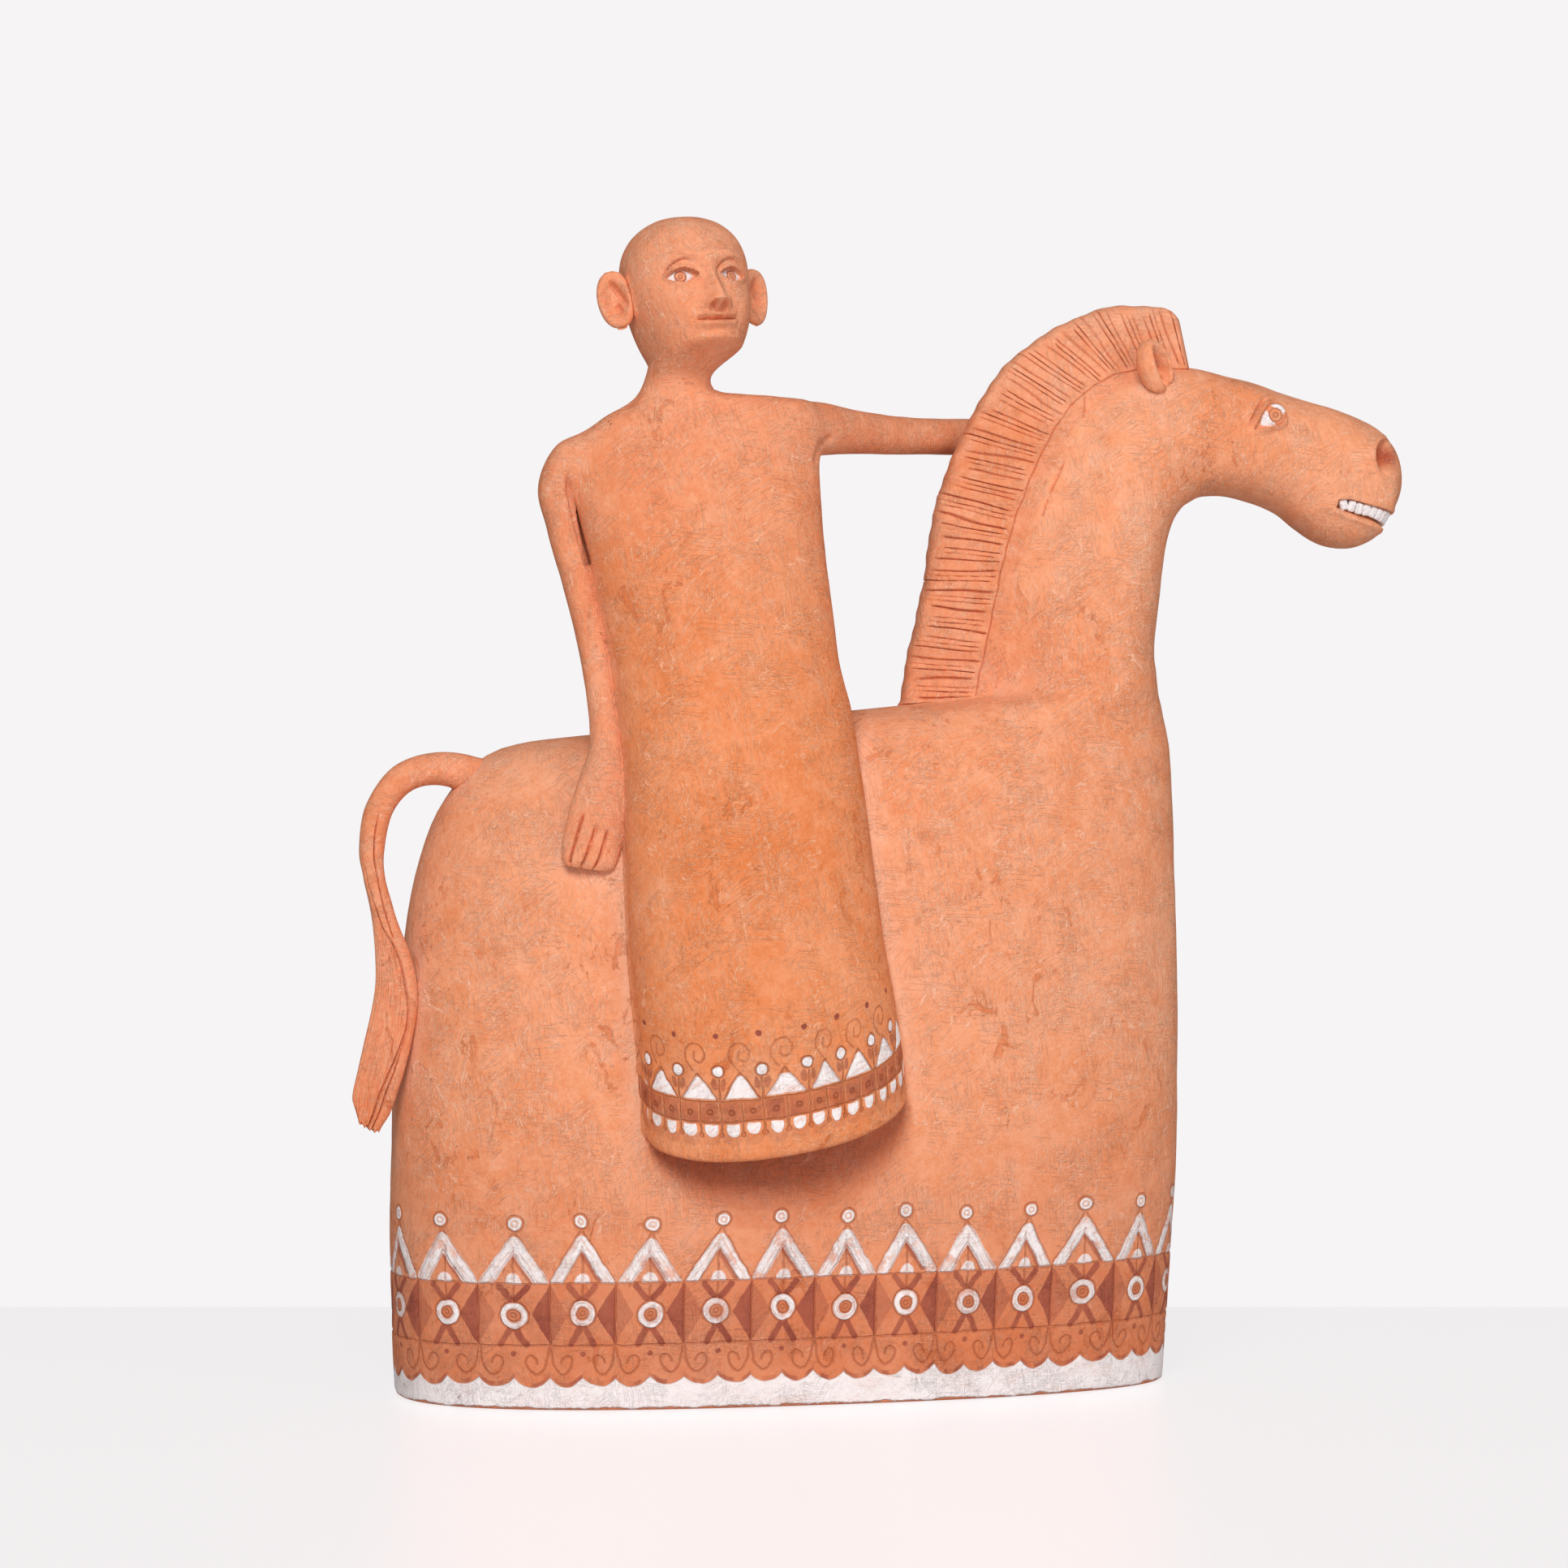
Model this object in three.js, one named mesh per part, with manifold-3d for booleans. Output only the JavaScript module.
// A hand-built terracotta horse with its rider. A potter makes it from hollow slab and coil forms and from
// small pressed pieces, and joins each piece to the next with slip before the firing.
// Millimetres, +Z up, +X towards the horse's muzzle, -Y towards the side that the rider faces.
// The origin is under the middle of the whole figure, on the surface that it stands on.

import * as THREE from "three";
import { mergeVertices } from "three/addons/utils/BufferGeometryUtils.js";
import Module from "manifold-3d";

const wasm = await Module();
wasm.setup();

// Driving dimensions
const SLIP_LINE = 0.3; // joint left between two pieces
const HORSE_Y = 15; // the horse's middle plane
const BODY_WALL = 10;
const NECK_WALL = 11;
const ROBE_WALL = 8;
const HEAD_WALL = 7; // rider's head and neck
const MANE_THICK = 15;
const MANE_EDGE_ROUND = 3;
const LIP_HEIGHT = 5; // open slit of the horse's mouth
const TOOTH_HEIGHT = 4;
const LIP_DEPTH = 8;
const TOOTH_SETBACK = 1.2; // the teeth stand behind the lips

const MERGE = 1e-3; // points closer than this are one

// Colours of the fired clay and of the white slip that is painted on the teeth and the eyes
const HORSE_CLAY = 0xe59c77;
const RIDER_CLAY = 0xe3905f;
const WHITE_SLIP = 0xf1e6e2;
const CLAY_ROUGHNESS = 0.85;

// A section of a form: it runs from a start point to an end point in side view, [x, z].
// near and far are its half depths towards -Y and +Y at those two ends, about the plane y.
// square is the exponent of its outline, 2 for an ellipse. drop lowers its near side.
function section(start, end, near, { far = near, y = HORSE_Y, square = 2.2, drop = 0 } = {}) {
  return { start, end, near, far, y, square, drop };
}

// The horse from the foot rim up to the back, through the neck and out to the muzzle.
const TRUNK = [
  section([-209.5, 0], [117, 0], [72, 55], { square: 2.5 }),
  section([-211, 45], [120.4, 45], [72, 55.5], { square: 2.5 }),
  section([-211, 100], [122.8, 100], [71, 56], { square: 2.5 }),
  section([-208.3, 157], [124.2, 157], [68, 56], { square: 2.5 }),
  section([-203.7, 201], [123.2, 201], [64.5, 55.5], { square: 2.4 }),
  section([-196.2, 231], [122.8, 232], [59, 55], { square: 2.3 }),
  section([-186.5, 250.5], [122, 252], [52, 54]),
  section([-174, 263.5], [121, 265], [44, 52]),
  section([-156, 270.3], [119.7, 273.5], [35, 50]),
  section([-126, 274], [118.2, 280], [27, 48]),
  section([-75, 278.8], [117, 285.5], [21, 46]),
  section([-25, 283.5], [115.8, 289.5], [18, 44]),
  section([15, 287.3], [114.8, 293.5], [18, 42]),
  section([38.5, 292.5], [114, 300], [21, 40]),
  section([42.3, 310], [113.6, 312], [23, 38]),
  section([48.3, 345], [118, 346], [22, 33]),
  section([56.8, 370], [121.3, 362], [21, 31]),
  section([68, 398], [125.8, 370], [21, 30]),
  section([84.5, 419], [130.6, 373.6], [22, 29]),
  section([107.6, 430.5], [136, 376], [23, 28]),
  section([129.5, 431.7], [143.2, 376.6], [23.5, 27]),
  section([146.5, 428], [150.5, 376], [23.5, 26.5]),
  section([159.2, 425], [161, 373.3], [23, 25]),
  section([172, 421], [170.5, 369], [21.5, 23.5]),
  section([183, 418], [179, 362.6], [21, 22.5]),
  section([193.8, 415.4], [189.3, 356.4], [21, 22]),
  section([204.4, 411.6], [199.8, 354.6], [20.5, 21.5]),
  section([212.6, 407.6], [209, 357], [19, 20]),
  section([219.2, 401.4], [215.8, 362.4], [16, 16.5]),
  section([223.4, 393.6], [220.7, 371.2], [10, 10.5]),
  section([224.8, 385], [224.2, 379], [3.5, 3.5]),
];
// The passage from the body's hollow up to the neck's
const BODY_TO_NECK = [
  section([52, 245], [104, 245], [6, 24]),
  section([52, 292], [105, 298], [6, 26]),
];
const WITHERS = 13; // section where the neck stands on the body
const POLL = 20; // section where the head joins the neck
const BODY_CEILING = 8; // last section of the body's hollow
const RIM_CLEAR = 1; // the hollow runs out below the rim by this much
const BACK_SEAM_Z = 236; // two bent flank slabs meet at the chest and the rump, and the back closes them here
const SKULL_HOLLOW_END = 24; // last section of the hollow in the head

// The robe from its hem up to the shoulders. Its far side lies inside the horse below the back.
const ROBE = [
  section([-113, 111], [-5, 127], [31, 29], { far: [24, 24], y: -47, drop: 15 }),
  section([-115.5, 146], [-7.5, 148], [32, 31], { far: [24, 24], y: -46, drop: 6 }),
  section([-118, 178], [-12, 178], [31, 30], { far: [24, 24], y: -44 }),
  section([-119.5, 218], [-17.5, 220], [30, 29], { far: [26, 26], y: -41 }),
  section([-120, 252], [-21.5, 254], [31, 29], { far: [30, 30], y: -36 }),
  section([-123, 280], [-24.5, 281], [33, 30], { far: [31, 30], y: -31 }),
  section([-127, 303], [-29.5, 303], [32, 29], { far: [29, 28], y: -29 }),
  section([-131.5, 330], [-33, 330], [30, 27], { far: [27, 26], y: -28 }),
  section([-136.5, 354], [-36, 354], [27.5, 25], { far: [25, 24], y: -27 }),
  section([-141, 375], [-37.8, 378], [24, 22], { far: [22, 20], y: -26 }),
  section([-139, 389], [-38.5, 394], [20, 19], { far: [19, 17], y: -26 }),
  section([-130, 400], [-41, 406], [16.5, 15], { far: [15, 13], y: -26 }),
  section([-120, 406.5], [-49, 411.5], [14, 11], { far: [13, 10], y: -26 }),
  section([-110, 411.5], [-79, 414], [10, 8], { far: [10, 8], y: -26 }),
];
const ROBE_SPLIT_Y = -27; // the front and back slabs meet along the rider's sides
const ROBE_HOLLOW_END = 10; // last section of the hollow between the slabs
const HEM_CLEAR = 12; // the hollow runs out below the hem by this much

// A limb follows points [x, y, z], with its half width seen from the side and its half depth along Y.
const TAIL = [
  { at: [-163, 13, 248], wide: 8.5, deep: 8 },
  { at: [-178, 11, 256.5], wide: 8, deep: 7.5 },
  { at: [-193, 8, 259.3], wide: 6.8, deep: 7 },
  { at: [-207.3, 4, 255], wide: 6.3, deep: 6.5 },
  { at: [-217, 0, 242.5], wide: 5.9, deep: 6 },
  { at: [-220.2, -3, 226], wide: 5.5, deep: 5.5 },
  { at: [-217.8, -5, 207], wide: 5.4, deep: 5.2 },
  { at: [-213.4, -8, 188], wide: 6.4, deep: 5 },
  { at: [-211, -10, 169], wide: 8.4, deep: 4.8 },
  { at: [-213, -11, 150], wide: 10.2, deep: 4.6 },
  { at: [-217, -11, 133], wide: 10.6, deep: 4.4 },
  { at: [-219.4, -11, 121.5], wide: 9.8, deep: 4.2 },
  { at: [-220, -11, 111.5], wide: 4.5, deep: 3.6 },
];
const RIGHT_ARM = [
  { at: [-130, -26, 390], wide: 7.5, deep: 8 },
  { at: [-140.5, -26.5, 386.5], wide: 9.5, deep: 10 },
  { at: [-146.3, -27, 375], wide: 7.6, deep: 9.5 },
  { at: [-143.6, -28, 357], wide: 6.6, deep: 8 },
  { at: [-137.8, -30, 335], wide: 6.4, deep: 7.2 },
  { at: [-132.2, -32, 311], wide: 6.2, deep: 6.8 },
  { at: [-128.6, -34, 288], wide: 6.2, deep: 6.5 },
  { at: [-127, -38, 269], wide: 7, deep: 6.5 },
  { at: [-127.5, -43.5, 254], wide: 11, deep: 6 },
  { at: [-130.5, -46.5, 240], wide: 12.6, deep: 5.5 },
  { at: [-133.5, -48, 227], wide: 12, deep: 5 },
  { at: [-135, -48.5, 221], wide: 9.5, deep: 3.5 },
];
const LEFT_ARM = [
  { at: [-54, -26, 395], wide: 8, deep: 8 },
  { at: [-40, -18, 400.3], wide: 11, deep: 10.5 },
  { at: [-18, 0, 400.9], wide: 8.9, deep: 10 },
  { at: [2, 16, 401.2], wide: 8.2, deep: 9.5 },
  { at: [22, 30, 402], wide: 7.9, deep: 9 },
  { at: [42, 38, 402.5], wide: 8.2, deep: 8 },
  { at: [58, 41, 402], wide: 10.5, deep: 6.5 },
  { at: [72, 43, 400], wide: 11.5, deep: 5.5 },
  { at: [84, 44.5, 397], wide: 9, deep: 4 },
];

// The mane's edge from the withers over the crest to the forehead, and a line inside the neck behind it.
const MANE_EDGE = [
  [4, 283], [7, 303], [11.5, 314], [15, 335], [19.7, 365], [25.7, 386], [34, 407], [47.3, 427.3],
  [58.6, 438.6], [73.5, 449], [93, 456.6], [113, 458], [123, 455.5],
];
const MANE_FRONT = [[127.5, 440], [131, 424]];
const MANE_ROOT = [[112, 420], [94, 411], [78, 393], [67, 370], [59, 345], [53, 315], [48, 283]];

// Places on the horse's head, [x, z], with the turn of each piece seen from the side
const MOUTH = { corner: [189, 375.4], slope: -19.5, reach: 60 };
const HORSE_EYE = { at: [160, 409.5], out: 20, turn: 34, half: [7.2, 4.6, 3.2] };
const HORSE_EAR = { at: [110.4, 429.5], out: 21, turn: -66, lean: 12, half: [11, 7, 5], cup: [7.5, 3.8, 3] };
const NOSTRIL = { at: [213.5, 394], out: 17, turn: 75, half: [5.5, 3, 6] };

// The rider's head in its own frame: the chin is at the origin's height and the face looks along -Y.
const HEAD_PLACE = { at: [-91.5, -33, 424.5], yaw: 16, roll: -4, pitch: -3 };
const HEAD_HEIGHT = 61;
const HEAD_HALF_WIDTH = 25.5;
const HEAD_FRONT = 27; // from the ear line to the brow
const HEAD_BACK = 28;
const EYES = { apart: 0.42 * HEAD_HALF_WIDTH, height: 0.5 * HEAD_HEIGHT, depth: 3.2, half: [5.6, 3, 2.6] };
const NOSE = { height: 0.43 * HEAD_HEIGHT, long: 19, radius: 5.2, stretch: 1.5, slope: 9 };
const LIPS = { height: 0.2 * HEAD_HEIGHT, depth: 0.6, half: [8.2, 2.8, 2.4] };
const EARS = { out: HEAD_HALF_WIDTH + 5, y: -1, height: 0.44 * HEAD_HEIGHT, half: [4.2, 11.5, 8], turn: 12 };
const EAR_CUP = { out: HEAD_HALF_WIDTH + 8.5, y: -5, height: EARS.height + 1, half: [3, 6.5, 4.2] };
const NECK_BORE = 7;
const NECK = [
  { at: [-95.5, -27, 401], wide: 18, deep: 15 },
  { at: [-95.5, -27, 414], wide: 15, deep: 14 },
  { at: [-92.5, -30, 438], wide: 14.5, deep: 14.5 },
];

// Solids

function corner(point, y) {
  return new THREE.Vector3(point[0], y, point[1]);
}

const through = (points) => new THREE.CatmullRomCurve3(points, false, "catmullrom", 0.5);

const power = (value, exponent) => Math.sign(value) * Math.abs(value) ** exponent;

// A closed skin through the sections numbered from first to last, rounded between them.
function form(sections, { first = 0, last = sections.length - 1, around, steps }) {
  const starts = through(sections.map((s) => corner(s.start, s.y)));
  const ends = through(sections.map((s) => corner(s.end, s.y)));
  const nears = through(sections.map((s) => new THREE.Vector3(s.near[0], s.near[1], s.drop)));
  const fars = through(sections.map((s) => new THREE.Vector3(s.far[0], s.far[1], s.square)));
  const skin = new THREE.CylinderGeometry(1, 1, 1, around, steps);
  const points = skin.getAttribute("position");
  for (let i = 0; i < points.count; i++) {
    const share = (first + (points.getY(i) + 0.5) * (last - first)) / (sections.length - 1);
    const [start, end] = [starts.getPoint(share), ends.getPoint(share)];
    const [near, far] = [nears.getPoint(share), fars.getPoint(share)];
    const reach = Math.min(1, Math.hypot(points.getX(i), points.getZ(i)));
    const angle = Math.atan2(points.getZ(i), points.getX(i));
    const lengthwise = reach * power(Math.cos(angle), 2 / far.z);
    const sideways = reach * power(Math.sin(angle), 2 / far.z);
    const depth = sideways < 0 ? near : far;
    const place = start.lerp(end, (lengthwise + 1) / 2);
    place.y += sideways * THREE.MathUtils.lerp(depth.x, depth.y, (lengthwise + 1) / 2);
    place.z += sideways * near.z;
    points.setXYZ(i, place.x, place.y, place.z);
  }
  return skin;
}

// Sections drawn in by a wall's thickness, for the hollow inside a form.
function inset(sections, wall) {
  const least = 2;
  const thinner = (half) => half.map((value) => Math.max(value - wall, least));
  return sections.map((s) => {
    const [start, end] = [corner(s.start, 0), corner(s.end, 0)];
    const inward = end.clone().sub(start).setLength(Math.min(wall, end.distanceTo(start) / 2 - least));
    start.add(inward);
    end.sub(inward);
    const drawn = { start: [start.x, start.z], end: [end.x, end.z] };
    return { ...s, ...drawn, near: thinner(s.near), far: thinner(s.far) };
  });
}

// The sections of a limb, square to its path as seen from the side.
function limb(points) {
  const path = through(points.map((p) => new THREE.Vector3(...p.at)));
  return points.map((p, i) => {
    const along = path.getTangent(i / (points.length - 1));
    const across = new THREE.Vector3(-along.z, 0, along.x).setLength(p.wide);
    const [x, y, z] = p.at;
    return section([x + across.x, z + across.z], [x - across.x, z - across.z], [p.deep, p.deep], { y });
  });
}

// A geometry with its shared points merged and its faces turned outwards.
function closed(geometry) {
  const skin = geometry.clone();
  skin.deleteAttribute("normal");
  skin.deleteAttribute("uv");
  const merged = mergeVertices(skin, MERGE);
  if (manifold(merged).volume() < 0) merged.setIndex([...merged.index.array].reverse());
  return merged;
}

function manifold(skin) {
  const vertProperties = skin.getAttribute("position").array;
  const triVerts = new Uint32Array(skin.index.array);
  return new wasm.Manifold(new wasm.Mesh({ numProp: 3, vertProperties, triVerts }));
}

const solid = (geometry) => manifold(closed(geometry));

// The same form, larger all round by the slip line, to cut a seat in a neighbour.
function seat(geometry) {
  const skin = closed(geometry);
  skin.computeVertexNormals();
  const points = skin.getAttribute("position");
  const normals = skin.getAttribute("normal");
  const place = new THREE.Vector3();
  const outward = new THREE.Vector3();
  for (let i = 0; i < points.count; i++) {
    outward.fromBufferAttribute(normals, i);
    place.fromBufferAttribute(points, i).addScaledVector(outward, SLIP_LINE);
    points.setXYZ(i, place.x, place.y, place.z);
  }
  return manifold(skin);
}

function skinOf(made) {
  const mesh = made.getMesh();
  return new THREE.BufferGeometry()
    .setAttribute("position", new THREE.BufferAttribute(mesh.vertProperties, 3))
    .setIndex(new THREE.BufferAttribute(mesh.triVerts, 1));
}

const cut = (made, ...cutters) => cutters.reduce((left, cutter) => left.subtract(cutter), made);

const degrees = THREE.MathUtils.degToRad;

// An ellipsoid with half sizes along X, Z and Y, leant about X and then turned about Y.
function ellipsoid(half, { at, turn = 0, lean = 0, around = 12, rings = 8 }) {
  return new THREE.SphereGeometry(1, around, rings)
    .scale(half[0], half[2], half[1])
    .rotateX(degrees(lean))
    .rotateY(degrees(-turn))
    .translate(...at);
}

function piece(group, name, made, colour) {
  const material = new THREE.MeshStandardMaterial({ color: colour, roughness: CLAY_ROUGHNESS, metalness: 0 });
  const mesh = new THREE.Mesh(skinOf(made), material);
  mesh.name = name;
  group.add(mesh);
}

const figure = new THREE.Group();
const horse = new THREE.Group();
const rider = new THREE.Group();
figure.add(horse, rider);

// Horse: a body of two flanks and a back, the neck and the head
const JOINT = 0.03; // share of the way to the next section that the slip line takes
const bodySkin = form(TRUNK, { last: WITHERS, around: 32, steps: 18 });
const neckSkin = form(TRUNK, { first: WITHERS + JOINT, last: POLL, around: 20, steps: 12 });
const headSkin = form(TRUNK, { first: POLL + JOINT, around: 20, steps: 15 });
const bodySeat = seat(bodySkin);
const neckSeat = seat(neckSkin);
const headSeat = seat(headSkin);

const lowered = (s, by) => ({ ...s, start: [s.start[0], s.start[1] - by], end: [s.end[0], s.end[1] - by] });
const bodyHollow = inset(TRUNK.slice(0, BODY_CEILING + 1), BODY_WALL).map((s, i) => {
  if (i === 0) return lowered(s, RIM_CLEAR);
  return i === BODY_CEILING ? lowered(s, BODY_WALL) : s;
});
const windpipe = [
  ...BODY_TO_NECK,
  ...inset(TRUNK.slice(WITHERS + 1, SKULL_HOLLOW_END + 1), NECK_WALL),
];
const hollow = solid(form(bodyHollow, { around: 24, steps: 8 }));
const bore = solid(form(windpipe, { around: 12, steps: windpipe.length - 1 }));
const bodyShell = cut(solid(bodySkin), hollow, bore);
const bodyWall = bodyShell.trimByPlane([0, 0, -1], SLIP_LINE / 2 - BACK_SEAM_Z);
const rightFlank = bodyWall.trimByPlane([0, -1, 0], SLIP_LINE / 2 - HORSE_Y);
const leftFlank = bodyWall.trimByPlane([0, 1, 0], SLIP_LINE / 2 + HORSE_Y);
piece(horse, "horse_flank_right", rightFlank, HORSE_CLAY);
piece(horse, "horse_flank_left", leftFlank, HORSE_CLAY);
piece(horse, "horse_back", bodyShell.trimByPlane([0, 0, 1], SLIP_LINE / 2 + BACK_SEAM_Z), HORSE_CLAY);
piece(horse, "horse_neck", cut(solid(neckSkin), bore), HORSE_CLAY);

// Horse: mouth with its row of teeth, eyes, nostrils and ears
function mouthSlab(height) {
  return solid(
    new THREE.BoxGeometry(MOUTH.reach, 2 * MOUTH.reach, height)
      .translate(MOUTH.reach / 2, HORSE_Y, 0)
      .rotateY(degrees(-MOUTH.slope))
      .translate(MOUTH.corner[0], 0, MOUTH.corner[1] - LIP_HEIGHT / 2),
  );
}
const muzzle = { first: POLL, around: 16, steps: 10 };
const muzzleCore = (depth) => solid(form(inset(TRUNK, depth), muzzle));
const lips = cut(mouthSlab(LIP_HEIGHT), muzzleCore(LIP_DEPTH));
const toothStrip = mouthSlab(TOOTH_HEIGHT).intersect(muzzleCore(TOOTH_SETBACK));
piece(horse, "horse_teeth", cut(toothStrip, muzzleCore(LIP_DEPTH - SLIP_LINE)), WHITE_SLIP);

let horseHead = cut(solid(headSkin), bore, lips);
for (const [name, side] of [["right", -1], ["left", 1]]) {
  const onSide = (spot, raise = 0) => [spot.at[0], HORSE_Y + side * (spot.out + raise), spot.at[1]];
  const eye = ellipsoid(HORSE_EYE.half, { at: onSide(HORSE_EYE), turn: HORSE_EYE.turn });
  const nostril = ellipsoid(NOSTRIL.half, { at: onSide(NOSTRIL), turn: NOSTRIL.turn, around: 10, rings: 6 });
  horseHead = cut(horseHead, seat(eye), solid(nostril));
  piece(horse, `horse_eye_${name}`, solid(eye), WHITE_SLIP);
  const tilt = { turn: HORSE_EAR.turn, lean: side * HORSE_EAR.lean };
  const ear = ellipsoid(HORSE_EAR.half, { at: onSide(HORSE_EAR), ...tilt });
  const cup = ellipsoid(HORSE_EAR.cup, { at: onSide(HORSE_EAR, HORSE_EAR.half[2]), ...tilt });
  piece(horse, `horse_ear_${name}`, cut(solid(ear), solid(cup), neckSeat, headSeat), HORSE_CLAY);
}
piece(horse, "horse_head", horseHead, HORSE_CLAY);

// Horse: mane and tail
function maneSlab(thick) {
  const flat = (points) => points.map(([x, z]) => new THREE.Vector2(x, z));
  const outline = new THREE.Shape();
  const edge = new THREE.SplineCurve(flat(MANE_EDGE)).getPoints(24);
  outline.setFromPoints([...edge, ...flat(MANE_FRONT), ...flat(MANE_ROOT)]);
  return new THREE.ExtrudeGeometry(outline, {
    depth: thick - 2 * MANE_EDGE_ROUND,
    bevelThickness: MANE_EDGE_ROUND,
    bevelSize: MANE_EDGE_ROUND,
    bevelOffset: -MANE_EDGE_ROUND,
    bevelSegments: 2,
    curveSegments: 1,
  })
    .translate(0, 0, MANE_EDGE_ROUND - thick / 2)
    .rotateX(Math.PI / 2)
    .translate(0, HORSE_Y, 0);
}
const maneCut = solid(maneSlab(MANE_THICK + 2 * SLIP_LINE));
piece(horse, "mane", cut(solid(maneSlab(MANE_THICK)), neckSeat, bodySeat, headSeat), HORSE_CLAY);

const tailSkin = form(limb(TAIL), { around: 12, steps: 16 });
piece(horse, "tail", cut(solid(tailSkin), bodySeat), HORSE_CLAY);

// Rider: neck and head in the head's own frame
const headGroup = new THREE.Group();
headGroup.position.set(...HEAD_PLACE.at);
headGroup.rotation.set(degrees(HEAD_PLACE.pitch), degrees(HEAD_PLACE.roll), degrees(HEAD_PLACE.yaw), "ZYX");
headGroup.updateMatrix();
rider.add(headGroup);

// A section of the head at a share of its height, with its half width, its reach to the face and to the nape.
function headSection(height, wide, front, back) {
  const [x, z] = [wide * HEAD_HALF_WIDTH, height * HEAD_HEIGHT];
  const [near, far] = [front * HEAD_FRONT, back * HEAD_BACK];
  return section([-x, z], [x, z], [near, near], { far: [far, far], y: 0 });
}
const SKULL = [
  headSection(-0.02, 0.2, 0.5, 0.1),
  headSection(0.02, 0.42, 0.8, 0.3),
  headSection(0.1, 0.62, 0.94, 0.52),
  headSection(0.22, 0.8, 1.0, 0.72),
  headSection(0.36, 0.92, 1.0, 0.88),
  headSection(0.5, 0.98, 0.98, 0.97),
  headSection(0.64, 1.0, 0.99, 1.0),
  headSection(0.78, 0.93, 0.9, 0.94),
  headSection(0.89, 0.76, 0.7, 0.75),
  headSection(0.96, 0.5, 0.45, 0.5),
  headSection(1.0, 0.15, 0.12, 0.15),
];
const skullSkin = form(SKULL, { around: 20, steps: 13 });
const skullSeat = seat(skullSkin).transform(headGroup.matrix.toArray());

const nose = new THREE.ConeGeometry(NOSE.radius, NOSE.long, 12)
  .scale(1, 1, NOSE.stretch)
  .rotateX(Math.PI / 2 - degrees(NOSE.slope))
  .translate(0, -HEAD_FRONT, NOSE.height);
const mouth = ellipsoid(LIPS.half, { at: [0, LIPS.depth - HEAD_FRONT, LIPS.height] });
const mouthSeat = seat(mouth);

const skullHollow = solid(form(inset(SKULL, HEAD_WALL), { first: 3, last: 8, around: 12, steps: 6 }));
const throat = new THREE.CylinderGeometry(NECK_BORE, NECK_BORE, 2 * HEAD_HEIGHT, 12)
  .rotateX(Math.PI / 2)
  .translate(...NECK[0].at);
const neckBore = solid(throat);
const neckBoreInHead = neckBore.transform(headGroup.matrix.clone().invert().toArray());
let riderHead = cut(solid(skullSkin), skullHollow, neckBoreInHead, mouthSeat, seat(nose));
for (const [name, side] of [["right", -1], ["left", 1]]) {
  const eye = ellipsoid(EYES.half, { at: [side * EYES.apart, EYES.depth - HEAD_FRONT, EYES.height] });
  riderHead = cut(riderHead, seat(eye));
  piece(headGroup, `rider_eye_${name}`, solid(eye), WHITE_SLIP);
  const turn = side * EARS.turn;
  const ear = ellipsoid(EARS.half, { at: [side * EARS.out, EARS.y, EARS.height], turn });
  const cup = ellipsoid(EAR_CUP.half, { at: [side * EAR_CUP.out, EAR_CUP.y, EAR_CUP.height], turn });
  piece(headGroup, `rider_ear_${name}`, cut(solid(ear), solid(cup), seat(skullSkin)), RIDER_CLAY);
}
piece(headGroup, "rider_head", riderHead, RIDER_CLAY);
piece(headGroup, "rider_nose", cut(solid(nose), mouthSeat, skullHollow), RIDER_CLAY);
piece(headGroup, "rider_lips", solid(mouth), RIDER_CLAY);

const robeSkin = form(ROBE, { around: 24, steps: 18 });
const robeSeat = seat(robeSkin);
const riderNeck = solid(form(limb(NECK), { around: 18, steps: 6 }));
piece(rider, "rider_neck", cut(riderNeck, skullSeat, robeSeat, neckBore), RIDER_CLAY);

// Rider: robe of a front and a back slab, open at the hem
const robeHollow = inset(ROBE.slice(0, ROBE_HOLLOW_END + 1), ROBE_WALL);
robeHollow.unshift(lowered(robeHollow[0], HEM_CLEAR));
const robeSpace = solid(form(robeHollow, { around: 16, steps: 11 }));
const robeShell = cut(solid(robeSkin), robeSpace, bodySeat, neckBore);
const frontSlab = robeShell.trimByPlane([0, -1, 0], SLIP_LINE / 2 - ROBE_SPLIT_Y);
const backSlab = robeShell.trimByPlane([0, 1, 0], SLIP_LINE / 2 + ROBE_SPLIT_Y);
piece(rider, "robe_front", frontSlab, RIDER_CLAY);
piece(rider, "robe_back", backSlab, RIDER_CLAY);

// Rider: the right arm lies on the rump, and the left arm reaches behind the mane
const rightArmSkin = form(limb(RIGHT_ARM), { around: 12, steps: 14 });
const leftArmSkin = form(limb(LEFT_ARM), { around: 12, steps: 11 });
piece(rider, "rider_right_arm", cut(solid(rightArmSkin), robeSeat, bodySeat), RIDER_CLAY);
piece(rider, "rider_left_arm", cut(solid(leftArmSkin), robeSeat, neckSeat, maneCut), RIDER_CLAY);

export default figure;
